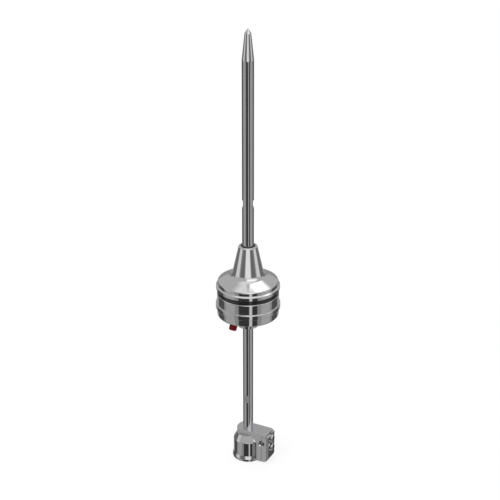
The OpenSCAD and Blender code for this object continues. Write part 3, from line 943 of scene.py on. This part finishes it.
@dataclass
class TestPoint:
    """Red cap and its seal on the dished underside."""

    circle_r: float = 34.0
    facing: float = -102.0
    slope: float = 22.2
    land_r: float = 17.0
    cap_r: float = 6.0
    cap_h: float = 9.0
    seal_h: float = 0.8
    bore_r: float = 3.55
    bore_h: float = 5.3
    band_h: float = 1.4
    band_slope_h: float = 0.3
    ribs: int = 24
    rib_r: float = 0.28
    rib_inset: float = 1.0

    def place(self) -> Matrix:
        """Place on the dish with the third axis out of its face."""
        rise = (self.circle_r - self.land_r) * math.tan(math.radians(self.slope))
        foot = node_box("lower_housing")[0].z
        return turn(self.facing, "Z") @ shift(self.circle_r, 0, foot + rise) @ turn(180 - self.slope, "Y")

    def build(self, finishes: Finishes, round_copies: CopyTree) -> None:
        """Mould the cap with its grip ribs and dress it.

        Args:
            finishes: the part's finishes.
            round_copies: tree that copies a rib round the cap.
        """
        top = self.seal_h + self.cap_h
        grip_r = self.cap_r - self.rib_r
        bore_z = self.seal_h + self.bore_h
        band_z = self.seal_h + self.band_h
        outline = Outline().corner(0, bore_z).corner(self.bore_r, bore_z)
        outline.corner(self.bore_r, self.seal_h).corner(self.cap_r, self.seal_h, 0.2)
        outline.corner(self.cap_r, band_z, 0.2).corner(grip_r, band_z + self.band_slope_h, 0.2)
        outline.corner(grip_r, top, 0.9).corner(0, top)
        item = new_object("test_cap_piece", lathe("test_cap", outline, False))
        rib_mesh = bar(self.rib_r, self.seal_h + self.rib_inset, top - self.rib_inset)
        rib = new_object("cap_rib", moved(rib_mesh, shift(grip_r)))
        round_copies.run(rib, self.ribs, finishes.red, turn_deg=360 / self.ribs)
        carve(item, "UNION", [rib.data])
        bpy.data.objects.remove(rib)
        moved(item.data, self.place())
        dress(even_shading(item, 40), finishes.red, Slot.RED, "test_cap")


@dataclass
class MastClamp:
    """Bottom fitting: socket for the mast, flatted neck with an ear, loose jaw, bolts and washers."""

    foot_h: float = 10.5
    foot_soft: float = 2.0
    rim_h: float = 4.5
    barrel_r: float = 23.1
    barrel_h: float = 23.2
    barrel_root_r: float = 6.0
    hood_h: float = 10.3
    hood_soft: float = 0.5
    neck_r: float = 17.6
    ear_half: float = 13.0
    ear_foot: float = 2.0
    ear_soft: float = 0.6
    ear_blend_r: float = 6.0
    ear_blend_root: float = 5.0
    plate_h: float = 4.5
    plate_reach: float = 37.6
    plate_bevel: float = 1.6
    split_x: float = 30.0
    split_gap: float = 0.5
    jaw_toe_r: float = 8.5
    jaw_brow_r: float = 0.8
    jaw_edge_r: float = 2.5
    jaw_soft: float = 1.0
    mast_r: float = 17.0
    mast_depth: float = 25.0
    mast_bevel: float = 1.0
    stem_r: float = 8.05
    stem_depth: float = 22.3
    conductor_r: float = 4.0
    conductor_z: float = 35.0
    conductor_bevel: float = 1.6
    bolt_pitch: float = 16.5
    bolt_r: float = 3.0
    bolt_play: float = 0.2
    bolt_bevel: float = 0.6
    thread_play: float = 0.05
    bolt_hole_end: float = 60.0
    bolt_tip_room: float = 1.0
    bolt_head_r: float = 5.0
    bolt_head_h: float = 6.0
    bolt_head_soft: float = 1.2
    bolt_socket_across: float = 5.0
    bolt_socket_h: float = 3.0
    sink_r: float = 7.6
    sink_bevel: float = 0.5
    grub_r: float = 3.05
    grub_drop: float = 5.0

    def build(self, finishes: Finishes, row: CopyTree) -> None:
        """Make the body, jaw, bolts and washers and dress them.

        Args:
            finishes: the part's finishes.
            row: tree that copies a piece along a row.
        """
        self.build_body(finishes)
        self.build_jaw(finishes)
        self.build_bolts(finishes, row)

    def plan(self, z: float, end: float) -> list[Vector]:
        """Outline of neck and ear seen from above.

        Args:
            z: height.
            end: distance from the axis to the ear's end.

        Returns:
            Points of the outline, drawn in where the upper edge is round.
        """
        inset = round_gap(self.ear_soft, node_box("clamp_body")[1].z - z)
        half, r = self.ear_half - inset, self.neck_r - inset
        first = math.pi - math.asin(half / r)
        sweep = 2 * math.asin(half / r)
        steps = 40
        arc = [first + sweep * i / steps for i in range(steps + 1)]
        points = [Vector((r * math.cos(a), r * math.sin(a), z)) for a in arc]
        return points + [Vector((end, -half, z)), Vector((end, half, z))]

    def neck_and_ear(self, top: float) -> bpy.types.Mesh:
        """Flatted neck and ear with the plate that reaches over the jaw.

        Args:
            top: height of the plate's top.

        Returns:
            A closed mesh.
        """
        ear_end, plate_z = self.split_x - self.split_gap / 2, top - self.plate_h
        loops = [self.plan(self.ear_foot, ear_end), self.plan(plate_z, ear_end),
                 self.plan(plate_z, self.plate_reach)]
        steps = 5
        drops = {self.ear_soft * (1 - math.cos(math.pi / 2 * i / steps)) for i in range(steps + 1)}
        for drop in sorted(drops | {self.plate_bevel}, reverse=True):
            loops.append(self.plan(top - drop, self.plate_reach - self.plate_bevel + drop))
        return stacked("neck_and_ear", loops)

    def ear_blend(self, side: float, hood_z: float, neck_z: float) -> bpy.types.Mesh:
        """Hollow blend between the barrel and one side of the ear, sloped on top like the hood.

        Args:
            side: 1 for the back of the ear, -1 for its front.
            hood_z: height of the hood's foot.
            neck_z: height of the hood's top.

        Returns:
            A closed mesh.
        """
        r, away = self.ear_blend_r, self.ear_half + self.ear_blend_r
        middle = Vector((math.sqrt((self.barrel_r + r) ** 2 - away ** 2), away))
        lean = math.atan2(middle.y, middle.x)
        steps = 14
        turns = [1.5 * math.pi + (lean - math.pi / 2) * i / steps for i in range(steps + 1)]
        root = self.ear_blend_root
        plan = [Vector((root, root)), Vector((middle.x, root))]
        plan += [middle + Vector((r * math.cos(a), r * math.sin(a))) for a in turns]
        loops = [[Vector((p.x, side * p.y, z)) for p in plan] for z in (self.ear_foot, neck_z)]
        item = new_object("blend", stacked("blend", loops))
        brim_r = math.hypot(middle.x, self.ear_half)
        cap = Outline().corner(0, 0, 0).corner(brim_r, 0, 0).corner(brim_r, hood_z, 0)
        cap.corner(self.neck_r, neck_z, 0).corner(0, neck_z, 0)
        carve(item, "INTERSECT", [lathe("blend_cap", cap, False)])
        mesh = item.data
        bpy.data.objects.remove(item)
        return mesh

    def build_body(self, finishes: Finishes) -> None:
        """Turn the socketed barrel, join neck and ear, and cut the holes.

        Args:
            finishes: the part's finishes.
        """
        high = node_box("clamp_body")[1]
        foot_r, top = high.y, high.z
        hood_z = self.foot_h + self.barrel_h
        neck_z = hood_z + self.hood_h
        outline = Outline().corner(0, 0).corner(foot_r, 0, self.foot_soft)
        outline.corner(foot_r, self.rim_h, self.foot_soft)
        outline.corner(self.barrel_r, self.foot_h, self.barrel_root_r)
        outline.corner(self.barrel_r, hood_z, self.hood_soft).corner(self.neck_r, neck_z, self.hood_soft)
        outline.corner(0, neck_z)
        item = new_object("clamp_body_piece", lathe("clamp_body", outline, False))
        carve(item, "UNION", [self.neck_and_ear(top)])
        carve(item, "UNION", [self.ear_blend(side, hood_z, neck_z) for side in (-1.0, 1.0)])
        mouth_r = self.mast_r + self.mast_bevel
        socket = Outline().corner(0, -CUT, 0).corner(mouth_r, -CUT, 0).corner(mouth_r, 0, 0)
        socket.corner(self.mast_r, self.mast_bevel, 0).corner(self.mast_r, self.mast_depth, 0)
        socket.corner(0, self.mast_depth, 0)
        grub = moved(bar(self.grub_r, 0, 2 * self.ear_half), shift(z=top - self.grub_drop) @ turn(-90, "X"))
        holes = [lathe("socket", socket, False), bar(self.stem_r, top - self.stem_depth, top + CUT),
                 self.conductor_cutter(), grub]
        holes += [self.bolt_cutter(z, self.thread_play) for z in self.bolt_heights()]
        carve(item, "DIFFERENCE", holes)
        dress(even_shading(item), finishes.clamp, Slot.POLISHED, "clamp_body")

    def bolt_heights(self) -> list[float]:
        """Heights of the two bolts."""
        return [self.conductor_z - self.bolt_pitch / 2, self.conductor_z + self.bolt_pitch / 2]

    def bolt_cutter(self, z: float, play: float) -> bpy.types.Mesh:
        """Cutter for one bolt's hole."""
        tip = node_box("jaw_bolts")[0].x
        hole = bar(self.bolt_r + play, tip - self.bolt_tip_room, self.bolt_hole_end)
        return moved(hole, shift(z=z) @ turn(90, "Y"))

    def sink_cutter(self, z: float) -> bpy.types.Mesh:
        """Cutter for one bolt head's recess, with a bevelled mouth.

        Args:
            z: height of the bolt.

        Returns:
            A closed mesh.
        """
        floor, face = node_box("jaw_washers")[0].x, node_box("clamp_jaw")[1].x
        mouth = self.sink_r + self.sink_bevel
        outline = Outline().corner(0, floor, 0).corner(self.sink_r, floor, 0)
        outline.corner(self.sink_r, face - self.sink_bevel, 0).corner(mouth, face, 0)
        outline.corner(mouth, face + CUT, 0).corner(0, face + CUT, 0)
        return moved(lathe("sink", outline, False), shift(z=z) @ turn(90, "Y"))

    def conductor_cutter(self) -> bpy.types.Mesh:
        """Cutter for the round hole across the split, with bevelled mouths."""
        r, wide = self.conductor_r, self.conductor_r + self.conductor_bevel
        mouth, end = self.ear_half - self.conductor_bevel, self.ear_half + CUT
        outline = Outline().corner(0, -end, 0).corner(wide, -end, 0).corner(wide, -self.ear_half, 0)
        outline.corner(r, -mouth, 0).corner(r, mouth, 0).corner(wide, self.ear_half, 0).corner(wide, end, 0)
        outline.corner(0, end, 0)
        place = shift(self.split_x, 0, self.conductor_z) @ turn(90, "X")
        return moved(lathe("conductor", outline, False), place)

    def jaw_side(self, y: float) -> list[Vector]:
        """Outline of the jaw seen from the side, with its raised end in front of the plate.

        Args:
            y: place across the width.

        Returns:
            Points of the outline, drawn in where the edges are round.
        """
        low, high = node_box("clamp_jaw")
        depth = self.ear_half - abs(y)
        draw, soft = round_gap(self.jaw_edge_r, depth), round_gap(self.jaw_soft, depth)
        top = high.z - soft
        shelf = node_box("clamp_body")[1].z - self.plate_h - self.split_gap - soft
        lip_x = self.plate_reach + self.split_gap
        toe = Vector((high.x - self.jaw_toe_r, y, low.z + self.jaw_toe_r))
        brow = Vector((high.x - draw - self.jaw_brow_r, y, top - self.jaw_brow_r))
        steps = 10
        turns = [math.pi / 2 * i / steps for i in range(steps + 1)]
        wide, deep = self.jaw_toe_r - draw, soft - self.jaw_toe_r
        points = [Vector((low.x, y, low.z + soft))]
        points += [toe + Vector((wide * math.sin(a), 0, deep * math.cos(a))) for a in turns]
        points += [brow + self.jaw_brow_r * Vector((math.cos(a), 0, math.sin(a))) for a in turns]
        return points + [Vector((lip_x, y, top)), Vector((lip_x, y, shelf)), Vector((low.x, y, shelf))]

    def build_jaw(self, finishes: Finishes) -> None:
        """Make the loose jaw with soft edges and cut its holes.

        Args:
            finishes: the part's finishes.
        """
        steps = 8
        rounds = [1 - math.cos(math.pi / 2 * i / steps) for i in range(steps + 1)]
        depths = {r * part for r in (self.jaw_edge_r, self.jaw_soft) for part in rounds}
        places = sorted({side * (self.ear_half - depth) for side in (-1.0, 1.0) for depth in depths})
        item = new_object("clamp_jaw_piece", stacked("clamp_jaw", [self.jaw_side(y) for y in places]))
        carve(item, "DIFFERENCE", [self.conductor_cutter()])
        carve(item, "DIFFERENCE", [self.bolt_cutter(z, self.bolt_play) for z in self.bolt_heights()])
        carve(item, "DIFFERENCE", [self.sink_cutter(z) for z in self.bolt_heights()])
        dress(even_shading(item), finishes.clamp, Slot.POLISHED, "clamp_jaw")

    def build_bolts(self, finishes: Finishes, row: CopyTree) -> None:
        """Make one bolt and one washer and copy both up the jaw.

        Args:
            finishes: the part's finishes.
            row: tree that copies a piece along a row.
        """
        step = Vector((0, 0, self.bolt_pitch))
        first_z = self.bolt_heights()[0]
        low, high = node_box("jaw_bolts")
        seat = high.x - self.bolt_head_h
        outline = Outline().corner(0, low.x).corner(self.bolt_r - self.bolt_bevel, low.x, 0.1)
        outline.corner(self.bolt_r, low.x + self.bolt_bevel, 0.1).corner(self.bolt_r, seat, 0.1)
        outline.corner(self.bolt_head_r, seat, 0.3).corner(self.bolt_head_r, high.x, self.bolt_head_soft)
        outline.corner(0, high.x)
        item = new_object("jaw_bolts_piece", lathe("bolt", outline, False))
        corner_r = self.bolt_socket_across / 2 / math.cos(math.radians(30))
        ring = [math.radians(60 * i) for i in range(6)]
        ends = (high.x - self.bolt_socket_h, high.x + CUT)
        socket = [[Vector((corner_r * math.cos(a), corner_r * math.sin(a), x)) for a in ring] for x in ends]
        carve(item, "DIFFERENCE", [stacked("bolt_socket", socket)])
        moved(item.data, shift(z=first_z) @ turn(90, "Y"))
        even_shading(row.run(item, len(self.bolt_heights()), finishes.bolt, step))
        dress(item, finishes.bolt, Slot.PLAIN, "jaw_bolts")
        low, high = node_box("jaw_washers")
        outline = Outline().corner(self.bolt_r + self.bolt_play, low.x).corner(high.y, low.x)
        outline.corner(high.y, high.x).corner(self.bolt_r + self.bolt_play, high.x)
        item = new_object("jaw_washers_piece", lathe("washer", outline, True))
        moved(item.data, shift(z=first_z) @ turn(90, "Y"))
        even_shading(row.run(item, len(self.bolt_heights()), finishes.bolt, step))
        dress(item, finishes.bolt, Slot.PLAIN, "jaw_washers")


@dataclass
class HeadInside:
    """Solids inside the head and in the clamp's back that keep their own shape and get a finish."""

    finish_of: dict[str, str] = field(default_factory=lambda: {
        "rod_seal": "rubber", "upper_gasket": "rubber", "lower_gasket": "rubber", "cap_seal": "rubber",
        "spark_pins": "brass", "test_socket": "brass", "test_nut": "brass", "module_tray": "laminate",
        "trigger_module": "resin", "capacitors": "sleeve", "tray_screws": "inner", "center_stud": "inner",
        "jam_nut": "inner", "rod_washer": "inner", "floor_nut": "inner", "floor_washer": "inner",
        "rod_set_screw": "inner"})

    def build(self, finishes: Finishes) -> None:
        """Assign a finish to each solid.

        Args:
            finishes: the part's finishes.
        """
        for node, finish in self.finish_of.items():
            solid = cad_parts[node]
            solid.data.materials.clear()
            solid.data.materials.append(getattr(finishes, finish))
            LOG.info("%s: %s finish", node, finish)


@dataclass(frozen=True)
class StudioWindow:
    """Patch of light or shade round the part, by bearing from the camera and by elevation."""

    bearing: float
    half_width: float
    low: float
    high: float
    light: float
    blur: float
    rise_blur: float


@dataclass(frozen=True)
class PanelTier:
    """Row of light and dark panels at one height, each with bearing, half width and light."""

    low: float
    high: float
    blur: float
    rise_blur: float
    panels: tuple[tuple[float, float, float], ...]


@dataclass
class Studio:
    """Floor, light and camera."""

    camera_turn: float = 27.0
    camera_reach: float = 1914.0
    camera_height: float = 1256.5
    camera_aside: float = 3.0
    camera_pitch: float = 25.0
    focal_px: float = 1400.0
    frame_px: float = 500.0
    sensor_mm: float = 36.0
    floor_r: float = 900.0
    floor_tone: float = 0.96
    floor_glow: float = 0.8
    lamp_size: float = 1.2
    lamp_power: float = 14.0
    lamp_place: tuple[float, float, float] = (1.3, -1.1, 1.7)
    lamp_aim_z: float = 0.3
    view_depth: float = 50.0
    plain_light: float = 1.0
    open_light: float = 0.35
    sky: tuple[StudioWindow, ...] = (
        StudioWindow(0, 181, 10, 100, 0.6, 10, 20), StudioWindow(0, 181, 65, 100, 1.0, 15, 15),
        StudioWindow(30, 40, 30, 60, 1.5, 20, 15), StudioWindow(140, 30, 50, 75, 2.0, 20, 15))
    tiers: tuple[PanelTier, ...] = (
        PanelTier(-15.0, 15.0, 10.0, 10.0, (
            (-120, 20, 0.2), (-80, 15, 0.9), (-40, 15, 0.2), (0, 20, 1.1), (40, 15, 0.2), (80, 15, 0.9),
            (120, 20, 0.2))),
        PanelTier(-100.0, -15.0, 5.0, 5.0, (
            (-120, 20, 0.1), (-70, 20, 0.5), (0, 35, 0.05), (10, 5, 0.8), (70, 20, 0.5), (120, 20, 0.1),
            (180, 40, 0.4))),
    )

    def windows(self) -> list[StudioWindow]:
        """List every patch of light and shade, where a later one covers an earlier one.

        Returns:
            The patches above the part, then both rows of panels.
        """
        result = list(self.sky)
        for tier in self.tiers:
            result += [StudioWindow(bearing, half, tier.low, tier.high, light, tier.blur, tier.rise_blur)
                       for bearing, half, light in tier.panels]
        return result

    def build(self) -> None:
        """Set up the floor, the light and the camera."""
        self.build_floor()
        self.build_world()
        self.build_lamps()
        self.build_camera()

    def bearing_axes(self) -> tuple[Vector, Vector]:
        """Level directions towards the camera and to its right."""
        a = math.radians(self.camera_turn)
        return Vector((math.sin(a), -math.cos(a), 0)), Vector((math.cos(a), math.sin(a), 0))

    def build_floor(self) -> None:
        """Lay a pale round floor that keeps a faint shadow."""
        bm = bmesh.new()
        bmesh.ops.create_circle(bm, cap_ends=True, segments=128, radius=self.floor_r * MM)
        mesh = bpy.data.meshes.new("floor")
        bm.to_mesh(mesh)
        bm.free()
        floor = new_object("floor", mesh)
        material = bpy.data.materials.new("pale_floor")
        material.use_nodes = True
        nodes = Nodes(material.node_tree)
        path = nodes.add("ShaderNodeLightPath").outputs
        seen = nodes.math("MAXIMUM", path["Is Camera Ray"],
                          nodes.math("MAXIMUM", path["Is Glossy Ray"], path["Is Transmission Ray"]))
        plain = nodes.add("ShaderNodeBsdfDiffuse", {"Color": (*[self.floor_tone] * 3, 1.0)})
        white = nodes.add("ShaderNodeEmission", {"Color": (1.0, 1.0, 1.0, 1.0), "Strength": 1.0})
        share = nodes.math("MULTIPLY", seen, self.floor_glow)
        both = nodes.add("ShaderNodeMixShader", {0: share, 1: plain.outputs[0], 2: white.outputs[0]})
        nodes.add("ShaderNodeOutputMaterial", {"Surface": both.outputs[0]})
        mesh.materials.append(material)
        floor.visible_glossy = False

    def build_world(self) -> None:
        """Surround the part with soft windows and dark gaps, and a white backdrop."""
        world = bpy.data.worlds.new("studio")
        bpy.context.scene.world = world
        world.use_nodes = True
        nodes = Nodes(world.node_tree)
        way = nodes.add("ShaderNodeTexCoord").outputs["Generated"]
        ahead, right = self.bearing_axes()
        parts = [nodes.add("ShaderNodeVectorMath", {0: way, 1: tuple(axis)}, operation="DOT_PRODUCT")
                 for axis in (right, ahead, Vector((0, 0, 1)))]
        across, along, up = (part.outputs["Value"] for part in parts)
        bearing = nodes.math("DEGREES", nodes.math("ARCTAN2", across, along))
        rise = nodes.math("DEGREES", nodes.math("ARCSINE", up))
        light: object = self.open_light
        for window in self.windows():
            light = nodes.blend(self.window_mask(nodes, window, bearing, rise), light, window.light)
        path = nodes.add("ShaderNodeLightPath").outputs
        mirror = nodes.math("MAXIMUM", path["Is Glossy Ray"], path["Is Transmission Ray"])
        shown = nodes.blend(path["Is Camera Ray"], nodes.blend(mirror, self.plain_light, light), 1.0)
        back = nodes.add("ShaderNodeBackground", {"Color": shown, "Strength": 1.0})
        nodes.add("ShaderNodeOutputWorld", {"Surface": back.outputs[0]})

    @staticmethod
    def window_mask(nodes: Nodes, window: StudioWindow, bearing: object,
                    rise: object) -> bpy.types.NodeSocket:
        """Mask of one window.

        Args:
            nodes: world node builder.
            window: the window.
            bearing: bearing socket in degrees.
            rise: elevation socket in degrees.

        Returns:
            Socket that is 1 inside the window.
        """
        away = nodes.math("SUBTRACT", bearing, window.bearing)
        off = nodes.math("ABSOLUTE", nodes.math("WRAP", away, 180.0, -180.0))
        half, blur, edge = window.half_width, window.blur / 2, window.rise_blur / 2
        side = nodes.span(off, half - blur, half + blur, 1.0, 0.0, "SMOOTHSTEP")
        over = nodes.span(rise, window.low - edge, window.low + edge, 0.0, 1.0, "SMOOTHSTEP")
        under = nodes.span(rise, window.high - edge, window.high + edge, 1.0, 0.0, "SMOOTHSTEP")
        return nodes.math("MULTIPLY", nodes.math("MULTIPLY", side, over), under)

    def build_lamps(self) -> None:
        """Hang one broad soft lamp over the camera's left."""
        data = bpy.data.lights.new("soft_lamp", "AREA")
        data.shape = "DISK"
        data.size = self.lamp_size
        data.energy = self.lamp_power
        lamp = bpy.data.objects.new("soft_lamp", data)
        bpy.context.scene.collection.objects.link(lamp)
        ahead, right = self.bearing_axes()
        out, aside, up = self.lamp_place
        lamp.location = ahead * out + right * aside + Vector((0, 0, up))
        aim = Vector((0, 0, self.lamp_aim_z)) - lamp.location
        lamp.rotation_euler = aim.to_track_quat("-Z", "Y").to_euler()
        lamp.visible_glossy = False

    def build_camera(self) -> None:
        """Place the camera at the photograph's viewing angle."""
        data = bpy.data.cameras.new("camera")
        data.sensor_width = self.sensor_mm
        data.lens = self.focal_px / self.frame_px * self.sensor_mm
        data.clip_end = self.view_depth
        camera = bpy.data.objects.new("camera", data)
        bpy.context.scene.collection.objects.link(camera)
        ahead, right = self.bearing_axes()
        place = ahead * self.camera_reach + right * self.camera_aside + Vector((0, 0, self.camera_height))
        camera.location = place * MM
        camera.rotation_euler = (math.radians(90 - self.camera_pitch), 0, math.radians(self.camera_turn))
        bpy.context.scene.camera = camera


def main() -> None:
    """Build the studio and dress every piece in order."""
    logging.basicConfig(level=logging.INFO, format="%(message)s")
    bpy.context.scene.view_settings.view_transform = "Standard"
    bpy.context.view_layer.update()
    finishes = Finishes()
    row = CopyTree("copies in a row", around=False)
    round_copies = CopyTree("copies round the axis", around=True)
    CaptureRod().build(finishes)
    UpperHousing().build(finishes)
    InsulatorRing().build(finishes)
    LowerHousing().build(finishes)
    Stem().build(finishes)
    TestPoint().build(finishes, round_copies)
    MastClamp().build(finishes, row)
    HeadInside().build(finishes)
    Studio().build()


if __name__ == "__main__":
    main()
